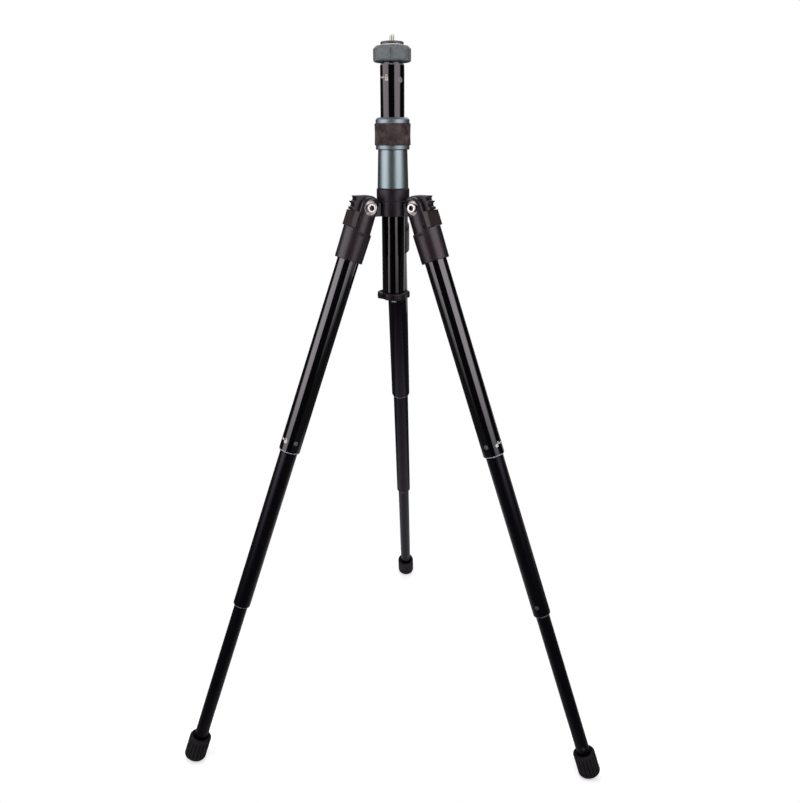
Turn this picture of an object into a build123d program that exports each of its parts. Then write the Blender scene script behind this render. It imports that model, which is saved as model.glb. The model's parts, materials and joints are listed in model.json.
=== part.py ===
from build123d import *
import os
from math import cos, radians, sin, sqrt

# Indoor tripod with a two-part centre column on a three-armed hub.
# Each leg hangs on a hub lug by a clevis knuckle, with a pull-out latch that stops it
# against the ridged rim of the lug, and has three tubes that lock by twisting.
# Millimetres, +Z up. The origin is on the floor, below the centre column.
# The rear leg points to +Y.

# Clearances
seat_gap = 0.05
slide_gap = 0.08
rest_gap = 0.3

# Leg stance
leg_angle = 20.76
leg_names = ["rear", "left", "right"]
leg_azimuths = [90, 210, 330]
pivot_radius = 37.5
pivot_offset = 3.0

# Leg lengths, seen from outside
knuckle_reach = 71.3
upper_reach = 269.0
middle_reach = 238.0
lower_reach = 219.0

# Leg tubes
upper_diameter = 29.0
middle_diameter = 24.0
lower_diameter = 19.0
leg_tube_wall = 1.3
bush_lip = 1.4
bush_lip_inset = 0.6
upper_bush_length = 42.0
middle_bush_length = 40.0
bush_boss_drop = 14.2
bush_boss_diameter = 6.4
upper_boss_azimuth = 90.0
middle_boss_azimuth = 90.0
middle_turns = [0, 60, 8]

# Twist locks inside the tubes
lock_length = 16.0
lock_spigot_length = 12.0
lock_bore_diameter = 9.0
lock_slit_width = 2.0

# Feet
foot_diameter = 31.0
foot_length = 36.0
foot_socket_depth = 22.0
foot_edge_radius = 5.0
foot_shoulder_radius = 2.6
foot_dish_width = 3.0
foot_dish_depth = 2.5
foot_rib_count = 18
foot_groove_radius = 0.9

# Knuckles
ear_radius = 13.5
ear_gap = 14.6
ear_wall = 1.8
ear_edge = 0.8
cheek_radius = 16.4
knuckle_step_drop = 32.3
knuckle_neck_radius = 17.2
socket_top_radius = 18.9
socket_end_radius = 18.4
socket_edge_radius = 0.8
slot_floor_drop = 30.0
socket_web = 6.0
counterbore_gap = 0.5

# Leg pivots
barrel_diameter = 9.0
bolt_diameter = 6.0
bolt_head_diameter = 12.0
bolt_head_height = 5.5
bolt_head_edge = 0.6
bolt_socket_width = 6.6
bolt_socket_depth = 3.6
bolt_thread_length = 15.0
barrel_end_gap = 0.6
washer_diameter = 19.2
washer_thickness = 0.8

# Angle latches
latch_width = 29.0
latch_thickness = 6.2
latch_length = 20.0
latch_edge_radius = 0.8
latch_travel = 7.0
tongue_thickness = 5.6
tongue_side_gap = 0.4
tongue_end_wall = 2.2
latch_pin_diameter = 2.5
latch_pin_inset = 3.0
spring_solid_length = 5.0
spring_wire = 0.4

# Hub
lug_thickness = 14.0
lug_radius = 15.0
ridge_radius = 23.2
ridge_pitch = 18.7
first_scallop_angle = 11.5
scallop_count = 2
scallop_radius = 3.1
hub_drop = 11.7
hub_lower_height = 19.3
hub_lower_radius = 22.3
hub_collar_height = 14.8
hub_collar_radius = 21.3
hub_edge = 0.8
arm_rise = 5.0
hub_bush_wall = 2.0
hub_bush_gap = 4.0
sleeve_spigot_length = 6.0

# Column sleeve and lock collar
sleeve_height = 46.8
sleeve_bottom_radius = 20.0
sleeve_top_radius = 18.7
sleeve_bore_gap = 0.6
sleeve_edge = 0.7
neck_radius = 17.5
neck_height = 15.0
collar_height = 38.0
collar_radius = 21.45
collar_foot = 5.2
collar_brow = 6.8
collar_chamfer = 2.4
collar_edge = 0.8
collar_thread_gap = 0.15
collar_mouth_gap = 0.45
collar_mouth_height = 3.5
collet_height = 17.0
collet_skirt = 5.5
collet_slit_width = 2.0
grip_seat_depth = 0.85
grip_thickness = 2.3
grip_waist = 0.4

# Column tube
column_diameter = 30.0
column_wall = 1.5
column_rise = 59.4
column_bush_length = 30.0
column_bush_lip = 1.6
column_boss_drop = 16.9
column_boss_diameter = 7.2
column_boss_azimuth = 314.5

# Inner column and head
inner_diameter = 25.0
inner_wall = 1.3
inner_length = 254.0
inner_end_room = 9.72
ring_gap = 2.0
ring_radius = 23.3
ring_height = 17.6
ring_web = 5.0
ring_top_edge = 3.2
ring_bottom_edge = 2.6
ring_groove_count = 6
ring_groove_width = 0.8
ring_groove_depth = 0.5
platform_diameter = 28.2
platform_height = 4.9
platform_edge = 0.6
platform_step_height = 1.8
platform_step_inset = 0.5
stud_diameter = 6.35
stud_shoulder_diameter = 7.0
stud_height = 8.2
stud_tip = 0.6
stud_head_width = 11.0
stud_head_height = 4.0

# End cap of the column
cap_radius = 22.0
cap_height = 8.5
cap_seat_depth = 2.0
cap_dish_width = 2.5
cap_edge = 1.5
cap_lobe_edge = 2.5
cap_scallop_radius = 16.0
cap_scallop_depth = 3.7
cap_turn = 12.0
cap_spigot_length = 18.0
cap_screw_diameter = 4.0
cap_screw_length = 16.0
cap_screw_head_diameter = 7.0
cap_screw_head_height = 6.0
cap_screw_socket_width = 3.0
cap_screw_socket_depth = 3.0

# Leg bench frame: the tube axis is Z, the pivot is level with the origin
upper_radius = upper_diameter / 2
middle_radius = middle_diameter / 2
lower_radius = lower_diameter / 2
upper_bore = upper_radius - leg_tube_wall
middle_bore = middle_radius - leg_tube_wall
lower_bore = lower_radius - leg_tube_wall
foot_radius = foot_diameter / 2
pivot_x = -pivot_offset
knuckle_end = -knuckle_reach
upper_end = knuckle_end - upper_reach
middle_end = upper_end - middle_reach
foot_top = middle_end - lower_reach
foot_bottom = foot_top - foot_length
slot_floor = -slot_floor_drop
socket_floor = slot_floor - socket_web
knuckle_step = -knuckle_step_drop
ear_inner = ear_gap / 2
ear_floor = ear_inner + ear_wall
washer_face = ear_floor + washer_thickness
counterbore_radius = washer_diameter / 2 + counterbore_gap
latch_seat = pivot_x + ear_radius
latch_inner = latch_seat + rest_gap
latch_outer = latch_inner + latch_thickness
latch_bottom = slot_floor + rest_gap
latch_top = latch_bottom + latch_length
latch_pin_radius = latch_pin_diameter / 2
latch_pin_x = latch_seat - latch_pin_inset
latch_pin_end = sqrt(cheek_radius**2 - (latch_pin_x + latch_pin_radius) ** 2) - rest_gap
tongue_width = ear_gap - 2 * tongue_side_gap
spring_length = latch_travel + spring_solid_length
tongue_middle = latch_bottom + tongue_thickness / 2
guide_outer = latch_pin_x + latch_pin_radius + seat_gap
guide_inner = latch_pin_x - latch_pin_radius - spring_length
guide_height = latch_pin_diameter + 2 * slide_gap
stop_face_drop = -latch_top - rest_gap

# Height of the leg pivots that puts the lowest edge of the feet on the floor
lean = radians(leg_angle)
foot_edge_drop = -(foot_bottom + foot_edge_radius)
foot_edge_inset = foot_radius - foot_edge_radius - pivot_offset
pivot_height = foot_edge_drop * cos(lean) + foot_edge_inset * sin(lean) + foot_edge_radius

# Levels of the column stack
hub_bottom = pivot_height - hub_drop
hub_step = hub_bottom + hub_lower_height
hub_top = hub_step + hub_collar_height
sleeve_top = hub_top + sleeve_height
neck_top = sleeve_top + neck_height
collar_bottom = sleeve_top + rest_gap
collar_top = collar_bottom + collar_height
grip_bottom = collar_bottom + collar_foot
grip_top = collar_top - collar_brow
column_top = collar_top + column_rise
bush_top = column_top + column_bush_lip
ring_bottom = bush_top + ring_gap
ring_top = ring_bottom + ring_height
platform_top = ring_top + platform_height
stud_top = platform_top + stud_height
column_radius = column_diameter / 2
column_bore = column_radius - column_wall
inner_radius = inner_diameter / 2
inner_bore = inner_radius - inner_wall
inner_top = ring_top - ring_web
inner_bottom = inner_top - inner_length

# The column tube is long enough for the inner column, its twist lock and the spigot of the end cap
inner_lock_bottom = inner_bottom - slide_gap - lock_length
column_drop = hub_bottom - inner_lock_bottom + inner_end_room + cap_spigot_length - cap_seat_depth
cap_top = hub_bottom - column_drop
cap_bottom = cap_top - cap_height
column_bottom = cap_top - cap_seat_depth

# Bores round the column
hub_bush_radius = column_radius + slide_gap + hub_bush_wall
sleeve_bore = column_radius + sleeve_bore_gap


def leg_location(azimuth):
    """Where the leg bench frame stands on the tripod."""
    turned = Location((0, 0, 0), (0, 0, azimuth))
    pivot = Location((pivot_radius, 0, pivot_height))
    leaning = Location((0, 0, 0), (0, -leg_angle, 0))
    return turned * pivot * leaning * Location((pivot_offset, 0, 0))


def save(piece, name):
    piece.part.label = name
    export_step(piece.part, f"parts/{name}.step")


def save_on_legs(piece, name, turns=(0, 0, 0)):
    """One copy of a leg piece on each leg, turned about the tube axis."""
    for leg, azimuth, turn in zip(leg_names, leg_azimuths, turns):
        with BuildPart() as placed:
            with Locations(leg_location(azimuth) * Location((0, 0, 0), (0, 0, turn))):
                add(piece.part)
        save(placed, f"{leg}_leg_{name}")


def disc(radius, bottom, top, mode=Mode.ADD):
    """A round block about the Z axis, in the part that is being built."""
    with Locations((0, 0, bottom)):
        Cylinder(radius, top - bottom, align=(Align.CENTER, Align.CENTER, Align.MIN), mode=mode)


def cross_pin(radius, x, z, start, end, mode=Mode.ADD):
    """A round block along Y, in the part that is being built."""
    with Locations(Location((x, (start + end) / 2, z), (90, 0, 0))):
        Cylinder(radius, abs(end - start), mode=mode)


def tube(outer, bore, bottom, top):
    with BuildPart() as piece:
        disc(outer, bottom, top)
        disc(bore, bottom, top, mode=Mode.SUBTRACT)
    return piece


def boss_pins(radius, inner, outer, level, azimuth, mode=Mode.ADD):
    """Two opposite round blocks across the Z axis, in the part that is being built."""
    for side in (azimuth, azimuth + 180):
        with Locations(Location((0, 0, level), (0, 0, side))):
            with Locations(Location((inner, 0, 0), (0, 90, 0))):
                Cylinder(
                    radius, outer - inner, align=(Align.CENTER, Align.CENTER, Align.MIN), mode=mode
                )


def end_bush(outer, bore, slider, end, lip, tail, boss_radius, boss_level, azimuth):
    """Lipped bush in the end of a tube, with two bosses that snap into holes of the tube.

    The lip lies between the levels end and lip, and the rest reaches on to the level tail."""
    slide_bore = slider + slide_gap
    with BuildPart() as piece:
        boss_pins(boss_radius - slide_gap, slide_bore, 2 * outer, boss_level, azimuth)
        disc(outer, boss_level - boss_radius, boss_level + boss_radius, mode=Mode.INTERSECT)
        disc(outer - bush_lip_inset, min(end, lip), max(end, lip))
        disc(bore - seat_gap, min(lip, tail), max(lip, tail))
        disc(slide_bore, min(end, tail), max(end, tail), mode=Mode.SUBTRACT)
    return piece


def twist_lock(outer_bore, inner_tube_bore, seat, direction):
    """Split expander on the end of an inner tube. Its spigot points along direction."""
    body_end = seat - direction * lock_length
    spigot_end = seat + direction * lock_spigot_length
    with BuildPart() as piece:
        disc(outer_bore - slide_gap, min(seat, body_end), max(seat, body_end))
        disc(inner_tube_bore - slide_gap, min(seat, spigot_end), max(seat, spigot_end))
        disc(lock_bore_diameter / 2, min(spigot_end, body_end), max(spigot_end, body_end), mode=Mode.SUBTRACT)
        with Locations((outer_bore, 0, (seat + body_end) / 2)):
            Box(2 * outer_bore, lock_slit_width, lock_length, mode=Mode.SUBTRACT)
    return piece


os.makedirs("parts", exist_ok=True)

# Hub: a collar on a round base, with three ridged lugs for the legs
with BuildPart() as hub:
    disc(hub_lower_radius, hub_bottom, hub_step)
    disc(hub_collar_radius, hub_step, hub_top)
    rims = hub.edges().filter_by(GeomType.CIRCLE)
    chamfer(rims.group_by(Axis.Z)[-1] + rims.sort_by(SortBy.RADIUS)[-2:], hub_edge)
    for azimuth in leg_azimuths:
        outward = Vector(1, 0, 0).rotate(Axis.Z, azimuth)
        sideways = Vector(0, -1, 0).rotate(Axis.Z, azimuth)
        with BuildSketch(Plane((0, 0, 0), x_dir=outward, z_dir=sideways)):
            pivot = (pivot_radius, pivot_height)
            stop_face = (
                pivot_radius + stop_face_drop * sin(lean),
                pivot_height - stop_face_drop * cos(lean),
            )
            with Locations(pivot):
                Circle(ridge_radius)
                Rectangle(
                    2 * ridge_radius, 3 * ridge_radius, align=(Align.MAX, Align.CENTER), mode=Mode.SUBTRACT
                )
            with Locations(stop_face):
                Rectangle(
                    4 * ridge_radius, 2 * ridge_radius, rotation=leg_angle,
                    align=(Align.CENTER, Align.MAX), mode=Mode.SUBTRACT,
                )
            with Locations((pivot_radius, pivot_height + lug_radius)):
                Rectangle(
                    4 * ridge_radius, ridge_radius, align=(Align.CENTER, Align.MIN), mode=Mode.SUBTRACT
                )
            with Locations(pivot):
                with PolarLocations(
                    ridge_radius, scallop_count, first_scallop_angle, ridge_pitch * scallop_count
                ):
                    Circle(scallop_radius, mode=Mode.SUBTRACT)
            with Locations(pivot):
                Circle(lug_radius)
            with Locations((pivot_radius, hub_bottom)):
                Rectangle(pivot_radius, hub_drop + arm_rise, align=(Align.MAX, Align.MIN))
                Rectangle(
                    4 * ridge_radius, ridge_radius, align=(Align.CENTER, Align.MAX), mode=Mode.SUBTRACT
                )
            with Locations(pivot):
                Circle(barrel_diameter / 2 + seat_gap, mode=Mode.SUBTRACT)
        extrude(amount=lug_thickness / 2, both=True)
    disc(hub_bush_radius + seat_gap, hub_bottom, hub_top, mode=Mode.SUBTRACT)
    disc(neck_radius + seat_gap, hub_top - sleeve_spigot_length, hub_top, mode=Mode.SUBTRACT)
save(hub, "hub")

# Bush that guides the column tube in the hub
hub_bush = tube(
    hub_bush_radius, column_radius + slide_gap, hub_bottom, hub_top - sleeve_spigot_length - hub_bush_gap
)
save(hub_bush, "hub_bush")

# Tapered sleeve on the hub, with a threaded neck for the lock collar
with BuildPart() as column_sleeve:
    with BuildSketch(Plane.XZ):
        with BuildLine():
            Polyline(
                (sleeve_bore, hub_top - sleeve_spigot_length),
                (neck_radius, hub_top - sleeve_spigot_length),
                (neck_radius, hub_top),
                (sleeve_bottom_radius - sleeve_edge, hub_top),
                (sleeve_bottom_radius, hub_top + sleeve_edge),
                (sleeve_top_radius, sleeve_top),
                (neck_radius, sleeve_top),
                (neck_radius, neck_top),
                (sleeve_bore, neck_top),
                close=True,
            )
        make_face()
    revolve(axis=Axis.Z)
save(column_sleeve, "column_sleeve")

# Split collet that the lock collar presses on the column tube
cone_bottom = neck_top + collet_skirt
cone_top = collar_top - collar_mouth_height
cone_drop = collar_thread_gap + neck_radius - column_radius - collar_mouth_gap
cone_slope = cone_drop / (cone_top - cone_bottom)
collet_top = neck_top + collet_height
collet_radius = neck_radius + collar_thread_gap - rest_gap
with BuildPart() as clamp_collet:
    with BuildSketch(Plane.XZ):
        with BuildLine():
            Polyline(
                (column_radius + slide_gap, neck_top),
                (collet_radius, neck_top),
                (collet_radius, cone_bottom),
                (collet_radius - (collet_top - cone_bottom) * cone_slope, collet_top),
                (column_radius + slide_gap, collet_top),
                close=True,
            )
        make_face()
    revolve(axis=Axis.Z)
    with Locations((column_radius, 0, (neck_top + collet_top) / 2)):
        Box(column_radius, collet_slit_width, collet_height, mode=Mode.SUBTRACT)
save(clamp_collet, "clamp_collet")

# Lock collar that turns on the neck, and its rubber grip
grip_seat = collar_radius - grip_seat_depth
thread_bore = neck_radius + collar_thread_gap
with BuildPart() as lock_collar:
    with BuildSketch(Plane.XZ):
        with BuildLine():
            Polyline(
                (thread_bore, collar_bottom),
                (collar_radius - collar_edge, collar_bottom),
                (collar_radius, collar_bottom + collar_edge),
                (collar_radius, grip_bottom),
                (grip_seat, grip_bottom),
                (grip_seat, grip_top),
                (collar_radius, grip_top),
                (collar_radius, collar_top - collar_chamfer),
                (collar_radius - collar_chamfer, collar_top),
                (column_radius + collar_mouth_gap, collar_top),
                (column_radius + collar_mouth_gap, cone_top),
                (thread_bore, cone_bottom),
                close=True,
            )
        make_face()
    revolve(axis=Axis.Z)
save(lock_collar, "lock_collar")

grip_radius = grip_seat + seat_gap + grip_thickness
with BuildPart() as collar_grip:
    with BuildSketch(Plane.XZ):
        with BuildLine():
            Polyline(
                (grip_radius, grip_bottom + seat_gap),
                (grip_seat + seat_gap, grip_bottom + seat_gap),
                (grip_seat + seat_gap, grip_top - seat_gap),
                (grip_radius, grip_top - seat_gap),
            )
            ThreePointArc(
                (grip_radius, grip_top - seat_gap),
                (grip_radius - grip_waist, (grip_top + grip_bottom) / 2),
                (grip_radius, grip_bottom + seat_gap),
            )
        make_face()
    revolve(axis=Axis.Z)
save(collar_grip, "collar_grip")

# Column tube with the bush that guides the inner column
column_boss_level = column_top - column_boss_drop
with BuildPart() as column_tube:
    disc(column_radius, column_bottom, column_top)
    disc(column_bore, column_bottom, column_top, mode=Mode.SUBTRACT)
    boss_pins(
        column_boss_diameter / 2, 0, column_diameter, column_boss_level, column_boss_azimuth,
        mode=Mode.SUBTRACT,
    )
save(column_tube, "column_tube")

column_bush = end_bush(
    column_radius, column_bore, inner_radius, bush_top, column_top, column_top - column_bush_length,
    column_boss_diameter / 2, column_boss_level, column_boss_azimuth,
)
save(column_bush, "column_bush")

# End cap with three hollows where the folded legs lie, and the screw that spreads its spigot
scallop_reach = cap_radius - cap_scallop_depth + cap_scallop_radius
with BuildPart() as column_end_cap:
    with BuildSketch(Plane.XY.offset(cap_bottom)) as cap_outline:
        Circle(cap_radius)
        with PolarLocations(scallop_reach, len(leg_azimuths), leg_azimuths[0] + cap_turn):
            Circle(cap_scallop_radius, mode=Mode.SUBTRACT)
        fillet(cap_outline.vertices(), cap_lobe_edge)
    extrude(amount=cap_height)
    fillet(column_end_cap.edges().group_by(Axis.Z)[-1], cap_edge)
    fillet(column_end_cap.edges().group_by(Axis.Z)[0], cap_edge)
    disc(column_radius + cap_dish_width, cap_top - cap_seat_depth / 2, cap_top, mode=Mode.SUBTRACT)
    disc(column_radius + seat_gap, column_bottom, cap_top, mode=Mode.SUBTRACT)
    disc(column_bore - seat_gap, column_bottom, column_bottom + cap_spigot_length)
    disc(cap_screw_diameter / 2 + seat_gap, cap_bottom, column_bottom + cap_spigot_length, mode=Mode.SUBTRACT)
save(column_end_cap, "column_end_cap")

with BuildPart() as end_cap_screw:
    disc(cap_screw_diameter / 2, cap_bottom, cap_bottom + cap_screw_length)
    disc(cap_screw_head_diameter / 2, cap_bottom - cap_screw_head_height, cap_bottom)
    with BuildSketch(Plane.XY.offset(cap_bottom - cap_screw_head_height)):
        RegularPolygon(cap_screw_socket_width / 2, 6, major_radius=False)
    extrude(amount=cap_screw_socket_depth, mode=Mode.SUBTRACT)
save(end_cap_screw, "end_cap_screw")

# Inner column: twist lock, tube, ring, platform and camera stud
inner_column_lock = twist_lock(column_bore, inner_bore, inner_bottom - slide_gap, 1)
save(inner_column_lock, "inner_column_lock")

inner_column_tube = tube(inner_radius, inner_bore, inner_bottom, inner_top)
save(inner_column_tube, "inner_column_tube")

with BuildPart() as top_ring:
    disc(ring_radius, ring_bottom, ring_top)
    chamfer(top_ring.edges().group_by(Axis.Z)[-1], ring_top_edge)
    fillet(top_ring.edges().group_by(Axis.Z)[0], ring_bottom_edge)
    with PolarLocations(ring_radius, ring_groove_count, leg_azimuths[0]):
        with Locations((0, 0, (ring_bottom + ring_top) / 2)):
            Box(2 * ring_groove_depth, ring_groove_width, ring_height, mode=Mode.SUBTRACT)
    disc(inner_radius + seat_gap, ring_bottom, inner_top, mode=Mode.SUBTRACT)
    disc(stud_shoulder_diameter / 2 + seat_gap, ring_bottom, ring_top, mode=Mode.SUBTRACT)
save(top_ring, "top_ring")

with BuildPart() as platform:
    disc(platform_diameter / 2, ring_top + platform_step_height, platform_top)
    chamfer(platform.edges().group_by(Axis.Z)[-1], platform_edge)
    disc(platform_diameter / 2 - platform_step_inset, ring_top, ring_top + platform_step_height)
    disc(stud_shoulder_diameter / 2 + seat_gap, ring_top, platform_top, mode=Mode.SUBTRACT)
save(platform, "platform")

with BuildPart() as camera_stud:
    disc(stud_diameter / 2, platform_top, stud_top)
    chamfer(camera_stud.edges().group_by(Axis.Z)[-1], stud_tip)
    disc(stud_shoulder_diameter / 2, inner_top, platform_top)
    with BuildSketch(Plane.XY.offset(inner_top - stud_head_height)):
        RegularPolygon(stud_head_width / 2, 6, major_radius=False)
    extrude(amount=stud_head_height)
save(camera_stud, "camera_stud")

# Knuckle: a round clevis over the hub lug that runs down into the socket of the upper tube.
# On the outside the socket rises to a shelf that the latch slides on.
socket_slope = (socket_top_radius - socket_end_radius) / (knuckle_step - knuckle_end)
with BuildPart() as knuckle_socket:
    with Locations((0, 0, knuckle_end)):
        Cone(
            socket_end_radius, socket_end_radius + socket_slope * (slot_floor - knuckle_end),
            slot_floor - knuckle_end, align=(Align.CENTER, Align.CENTER, Align.MIN),
        )
    with Locations((latch_seat, 0, knuckle_step)):
        Box(
            4 * socket_top_radius, 4 * socket_top_radius, slot_floor - knuckle_step,
            align=(Align.MAX, Align.CENTER, Align.MIN), mode=Mode.SUBTRACT,
        )
    rims = knuckle_socket.edges().filter_by(GeomType.CIRCLE)
    fillet(rims, socket_edge_radius)

with BuildPart() as knuckle:
    with BuildSketch(Plane.XZ):
        with Locations((pivot_x, 0)):
            Circle(ear_radius)
        with BuildLine():
            Polyline(
                (pivot_x - ear_radius, 0),
                (-knuckle_neck_radius, knuckle_step),
                (knuckle_neck_radius, knuckle_step),
                (pivot_x + ear_radius, 0),
                close=True,
            )
        make_face()
    extrude(amount=knuckle_neck_radius, both=True)
    with Locations((0, 0, knuckle_step)):
        Cone(
            knuckle_neck_radius, cheek_radius, knuckle_step_drop + ear_radius,
            align=(Align.CENTER, Align.CENTER, Align.MIN), mode=Mode.INTERSECT,
        )
    with Locations((latch_seat, 0, slot_floor)):
        Box(
            2 * ear_radius, 4 * cheek_radius, slot_floor_drop + 2 * ear_radius,
            align=(Align.MIN, Align.CENTER, Align.MIN), mode=Mode.SUBTRACT,
        )
    with Locations((0, 0, slot_floor)):
        Box(
            6 * ear_radius, ear_gap, slot_floor_drop + 2 * ear_radius,
            align=(Align.CENTER, Align.CENTER, Align.MIN), mode=Mode.SUBTRACT,
        )
    ear_rims = knuckle.faces().filter_by(GeomType.CONE).edges().filter_by(GeomType.BSPLINE)
    chamfer(ear_rims, ear_edge)
    add(knuckle_socket.part)
    cross_pin(barrel_diameter / 2 + seat_gap, pivot_x, 0, -ear_floor, ear_floor, mode=Mode.SUBTRACT)
    cross_pin(counterbore_radius, pivot_x, 0, ear_floor, 2 * cheek_radius, mode=Mode.SUBTRACT)
    cross_pin(counterbore_radius, pivot_x, 0, -2 * cheek_radius, -ear_floor, mode=Mode.SUBTRACT)
    cross_pin(
        latch_pin_radius + seat_gap, latch_pin_x, tongue_middle, -2 * cheek_radius, 2 * cheek_radius,
        mode=Mode.SUBTRACT,
    )
    disc(upper_radius + seat_gap, knuckle_end, socket_floor, mode=Mode.SUBTRACT)
save_on_legs(knuckle, "knuckle")

# Pivot: a barrel nut and a bolt through the ears and the lug, on two washers
with BuildPart() as pivot_barrel:
    cross_pin(bolt_head_diameter / 2, pivot_x, 0, washer_face, washer_face + bolt_head_height)
    chamfer(pivot_barrel.edges().group_by(Axis.Y)[-1], bolt_head_edge)
    cross_pin(barrel_diameter / 2, pivot_x, 0, barrel_end_gap - washer_face, washer_face)
    cross_pin(
        bolt_diameter / 2 + seat_gap, pivot_x, 0, -washer_face, bolt_thread_length - washer_face + seat_gap,
        mode=Mode.SUBTRACT,
    )
    with BuildSketch(Plane.XZ.offset(-washer_face - bolt_head_height)):
        with Locations((pivot_x, 0)):
            RegularPolygon(bolt_socket_width / 2, 6, major_radius=False)
    extrude(amount=bolt_socket_depth, mode=Mode.SUBTRACT)
save_on_legs(pivot_barrel, "pivot_barrel")

with BuildPart() as pivot_bolt:
    cross_pin(bolt_head_diameter / 2, pivot_x, 0, -washer_face - bolt_head_height, -washer_face)
    chamfer(pivot_bolt.edges().group_by(Axis.Y)[0], bolt_head_edge)
    cross_pin(bolt_diameter / 2, pivot_x, 0, -washer_face, bolt_thread_length - washer_face)
    with BuildSketch(Plane.XZ.offset(washer_face + bolt_head_height)):
        with Locations((pivot_x, 0)):
            RegularPolygon(bolt_socket_width / 2, 6, major_radius=False)
    extrude(amount=-bolt_socket_depth, mode=Mode.SUBTRACT)
save_on_legs(pivot_bolt, "pivot_bolt")

with BuildPart() as pivot_washers:
    cross_pin(washer_diameter / 2, pivot_x, 0, ear_floor, washer_face)
    cross_pin(washer_diameter / 2, pivot_x, 0, -washer_face, -ear_floor)
    cross_pin(barrel_diameter / 2 + seat_gap, pivot_x, 0, -washer_face, washer_face, mode=Mode.SUBTRACT)
save_on_legs(pivot_washers, "pivot_washers")

# Angle latch: a block on the outside of the ears, with a tongue that slides between them
with BuildPart() as angle_latch:
    with Locations(((latch_inner + latch_outer) / 2, 0, (latch_bottom + latch_top) / 2)):
        Box(latch_thickness, latch_width, latch_length)
    fillet(angle_latch.faces().sort_by(Axis.X)[-1].edges(), latch_edge_radius)
    with Locations((latch_inner, 0, tongue_middle)):
        Box(
            latch_inner - guide_inner + tongue_end_wall, tongue_width, tongue_thickness,
            align=(Align.MAX, Align.CENTER, Align.CENTER),
        )
    with BuildSketch(Plane.XZ):
        with Locations(((guide_inner + guide_outer) / 2, tongue_middle)):
            Rectangle(guide_outer - guide_inner, guide_height)
    extrude(amount=tongue_width, both=True, mode=Mode.SUBTRACT)
save_on_legs(angle_latch, "angle_latch")

with BuildPart() as latch_pin:
    cross_pin(latch_pin_radius, latch_pin_x, tongue_middle, -latch_pin_end, latch_pin_end)
save_on_legs(latch_pin, "latch_pin")

# Spring that draws the latch in, between the pin and the end of the tongue
spring_start = latch_pin_x - latch_pin_radius - seat_gap
with BuildPart() as latch_spring:
    with Locations(Location((spring_start, 0, tongue_middle), (0, -90, 0))):
        Cylinder(
            latch_pin_radius, spring_length - 2 * seat_gap, align=(Align.CENTER, Align.CENTER, Align.MIN)
        )
        Cylinder(
            latch_pin_radius - spring_wire, spring_length - 2 * seat_gap,
            align=(Align.CENTER, Align.CENTER, Align.MIN), mode=Mode.SUBTRACT,
        )
save_on_legs(latch_spring, "latch_spring")

# Leg tubes with their bushes and twist locks
upper_lip = upper_end + bush_lip
upper_bush_top = upper_lip + upper_bush_length
middle_lock_seat = upper_bush_top + rest_gap
middle_top = middle_lock_seat - slide_gap
middle_lip = middle_end + bush_lip
middle_bush_top = middle_lip + middle_bush_length
lower_lock_seat = middle_bush_top + rest_gap
lower_top = lower_lock_seat - slide_gap
upper_boss_level = upper_lip + bush_boss_drop
middle_boss_level = middle_lip + bush_boss_drop

with BuildPart() as upper_tube:
    disc(upper_radius, upper_lip, socket_floor)
    disc(upper_bore, upper_lip, socket_floor, mode=Mode.SUBTRACT)
    boss_pins(
        bush_boss_diameter / 2, 0, upper_diameter, upper_boss_level, upper_boss_azimuth, mode=Mode.SUBTRACT
    )
save_on_legs(upper_tube, "upper_tube")

upper_bush = end_bush(
    upper_radius, upper_bore, middle_radius, upper_end, upper_lip, upper_bush_top,
    bush_boss_diameter / 2, upper_boss_level, upper_boss_azimuth,
)
save_on_legs(upper_bush, "upper_bush")

middle_lock = twist_lock(upper_bore, middle_bore, middle_lock_seat, -1)
save_on_legs(middle_lock, "middle_lock")

with BuildPart() as middle_tube:
    disc(middle_radius, middle_lip, middle_top)
    disc(middle_bore, middle_lip, middle_top, mode=Mode.SUBTRACT)
    boss_pins(
        bush_boss_diameter / 2, 0, middle_diameter, middle_boss_level, middle_boss_azimuth,
        mode=Mode.SUBTRACT,
    )
save_on_legs(middle_tube, "middle_tube", middle_turns)

middle_bush = end_bush(
    middle_radius, middle_bore, lower_radius, middle_end, middle_lip, middle_bush_top,
    bush_boss_diameter / 2, middle_boss_level, middle_boss_azimuth,
)
save_on_legs(middle_bush, "middle_bush", middle_turns)

lower_lock = twist_lock(middle_bore, lower_bore, lower_lock_seat, -1)
save_on_legs(lower_lock, "lower_lock")

foot_socket_floor = foot_top - foot_socket_depth
lower_tube = tube(lower_radius, lower_bore, foot_socket_floor, lower_top)
save_on_legs(lower_tube, "lower_tube")

# Ribbed rubber foot with a dished top
with BuildPart() as foot:
    disc(foot_radius, foot_bottom, foot_top)
    fillet(foot.edges().group_by(Axis.Z)[-1], foot_shoulder_radius)
    fillet(foot.edges().group_by(Axis.Z)[0], foot_edge_radius)
    groove_bottom = foot_bottom + foot_edge_radius
    groove_top = foot_top - foot_shoulder_radius - foot_dish_depth
    with PolarLocations(foot_radius, foot_rib_count):
        with Locations((0, 0, groove_bottom)):
            Cylinder(
                foot_groove_radius, groove_top - groove_bottom,
                align=(Align.CENTER, Align.CENTER, Align.MIN), mode=Mode.SUBTRACT,
            )
    with Locations((0, 0, foot_top - foot_dish_depth)):
        Cone(
            lower_radius + seat_gap, lower_radius + foot_dish_width, foot_dish_depth,
            align=(Align.CENTER, Align.CENTER, Align.MIN), mode=Mode.SUBTRACT,
        )
    disc(lower_radius + seat_gap, foot_socket_floor, foot_top, mode=Mode.SUBTRACT)
save_on_legs(foot, "foot")
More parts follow.
